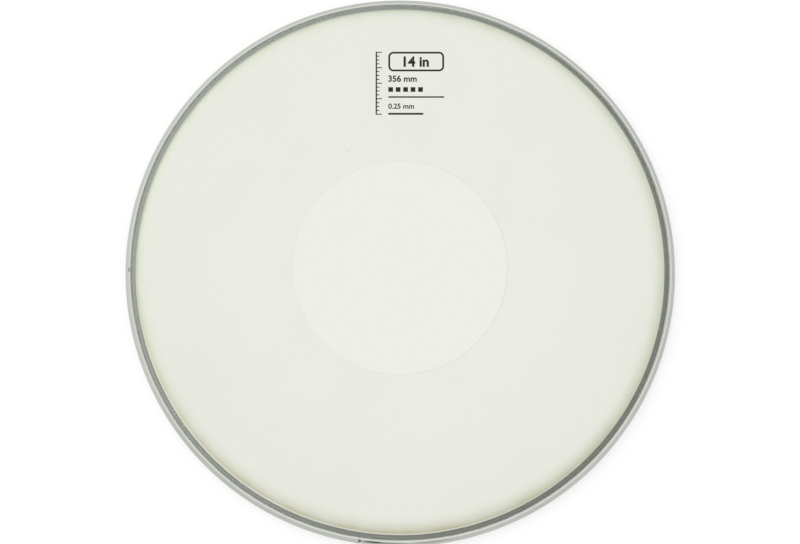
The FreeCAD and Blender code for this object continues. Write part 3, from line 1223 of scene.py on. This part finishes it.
def build_mark():
    mark = bmesh.new()
    ruler_width = 4.2 * MM
    column = mark_left + ruler_width + 4.3 * MM

    # a ruler stands down the left side, with a longer tick at every fourth
    ruler_line = 0.9 * MM
    tick = 0.65 * MM
    ink_rectangle(mark, mark_left, mark_foot, mark_left + ruler_line, mark_top)
    ticks = 16
    for number in range(ticks + 1):
        reach = ruler_width if number % 4 == 0 else ruler_width * 0.6
        foot = mark_foot + (mark_top - mark_foot - tick) * number / ticks
        ink_rectangle(mark, mark_left + ruler_line, foot, mark_left + reach, foot + tick)

    # the width in inches, in a frame
    frame_foot = mark_top - 13.4 * MM
    border = 1.25 * MM
    box = (column, frame_foot, mark_right, mark_top)
    inside = (box[0] + border, box[1] + border, box[2] - border, box[3] - border)
    ink_outline(mark, rounded_box(*box, 3.4 * MM), rounded_box(*inside, 2.2 * MM))
    ink_words(mark, "14 in", column, frame_foot + 3.1 * MM, 7.2 * MM, 0.035, mark_right - column)

    # the width in millimetres, five squares, a bar, and the film's thickness
    ink_words(mark, "356 mm", column, mark_top - 20.6 * MM, 4.5 * MM, 0.028)
    for number in range(5):
        left = column + number * 5.0 * MM
        ink_rectangle(mark, left, mark_top - 27.4 * MM, left + 3.2 * MM, mark_top - 24.2 * MM)
    ink_rectangle(mark, column, mark_top - 31.4 * MM, mark_right, mark_top - 30.4 * MM)
    ink_words(mark, "0.25 mm", column, mark_foot + 4.0 * MM, 3.7 * MM, 0.024)
    ink_rectangle(mark, column, mark_foot, mark_left + 32 * MM, mark_foot + 1.3 * MM)
    return gathered("printed_mark", mark)


settle(build_mark(), ink_finish, "white_coating")


# Floor, camera and light

def seen_directly(tree):
    """1 for rays from the camera, off a mirror or through glass, and 0 for all other light."""
    rays = place(tree, "ShaderNodeLightPath").outputs
    seen = maths(tree, "MAXIMUM", rays["Is Camera Ray"], rays["Is Glossy Ray"])
    return maths(tree, "MAXIMUM", seen, rays["Is Transmission Ray"])


def floor_finish():
    """Pale floor seen as white, with the head's soft shadow, and open to light under the head."""
    white_glow = 0.58
    material, tree, shader = finish_of("floor")
    spot = place(tree, "ShaderNodeTexCoord").outputs["Object"]
    dapple = noise(tree, spot, 6.0, 2.0)
    colour = tinted(tree, dapple, (0.8, 0.8, 0.8), (0.82, 0.82, 0.82))
    away = vector_maths(tree, "LENGTH", spot)["Value"]
    beyond = ramp(tree, away, hoop_inner_radius, hoop_inner_radius + 1 * MM)
    seen = seen_directly(tree)
    colour = tinted(tree, seen, colour, (0.45, 0.45, 0.45))
    feed(tree, shader, Base_Color=colour, Roughness=0.9, Specular_IOR_Level=0.1)
    glow = times(tree, times(tree, seen, beyond), white_glow)
    light = place(tree, "ShaderNodeEmission", {"Color": (1, 1, 1, 1), "Strength": glow})
    lit = place(tree, "ShaderNodeAddShader", {0: shader.outputs[0], 1: light.outputs[0]})
    below_it = place(tree, "ShaderNodeNewGeometry").outputs["Backfacing"]
    clear = place(tree, "ShaderNodeBsdfTransparent")
    open_to_light = maths(tree, "MAXIMUM", below_it, maths(tree, "SUBTRACT", 1.0, beyond))
    inputs = {0: open_to_light, 1: lit.outputs[0], 2: clear.outputs[0]}
    shown = place(tree, "ShaderNodeMixShader", inputs)
    tree.links.new(shown.outputs[0], tree.nodes["Material Output"].inputs["Surface"])
    return material


def build_floor():
    """A wide floor, a hair below the head's foot."""
    half = 6.0
    gap = 0.02 * MM
    corners = [(-half, -half, 0), (half, -half, 0), (half, half, 0), (-half, half, 0)]
    floor = mesh_piece("floor", corners, [(0, 1, 2, 3)])
    floor.location.z = -gap
    floor.data.materials.append(floor_finish())


def build_world():
    """Plain white to look at, and an even dimmer light on the head."""
    sky_light = 0.778
    world = bpy.data.worlds.new("studio")
    world.use_nodes = True
    tree = world.node_tree
    sky = tree.nodes["Background"].inputs
    sky["Color"].default_value = (1, 1, 1, 1)
    tree.links.new(ramp(tree, seen_directly(tree), 0, 1, sky_light, 1.0), sky["Strength"])
    bpy.context.scene.world = world


def add_sun(name, strength, spread, azimuth, elevation):
    """Soft distant light from an azimuth (from +X, towards +Y) and an elevation, in degrees."""
    lamp = bpy.data.lights.new(name, "SUN")
    lamp.energy = strength
    lamp.angle = math.radians(spread)
    turn, rise = math.radians(azimuth), math.radians(elevation)
    level = math.cos(rise)
    source = Vector((math.cos(turn) * level, math.sin(turn) * level, math.sin(rise)))
    sun = new_object(name, lamp)
    sun.rotation_euler = source.to_track_quat("Z", "Y").to_euler()
    sun.visible_glossy = False


def add_camera():
    """Camera nearly above the head, a little towards its lower edge."""
    distance = 1.3924
    tilt = math.radians(6.6007)
    aim = Vector((-0.15 * MM, -2.12 * MM, 10 * MM))
    lens = bpy.data.cameras.new("camera")
    lens.sensor_width = 36
    lens.lens = 93.75
    camera = new_object("camera", lens)
    target = Vector((-0.15 * MM, 0.13 * MM, 10 * MM))
    camera.location = target + distance * Vector((0, -math.sin(tilt), math.cos(tilt)))
    camera.rotation_euler = (camera.location - aim).to_track_quat("Z", "Y").to_euler()
    bpy.context.scene.camera = camera


build_floor()
build_world()
add_sun("key", strength=0.78, spread=75, azimuth=150, elevation=60)
add_camera()
bpy.context.scene.view_settings.view_transform = "Standard"
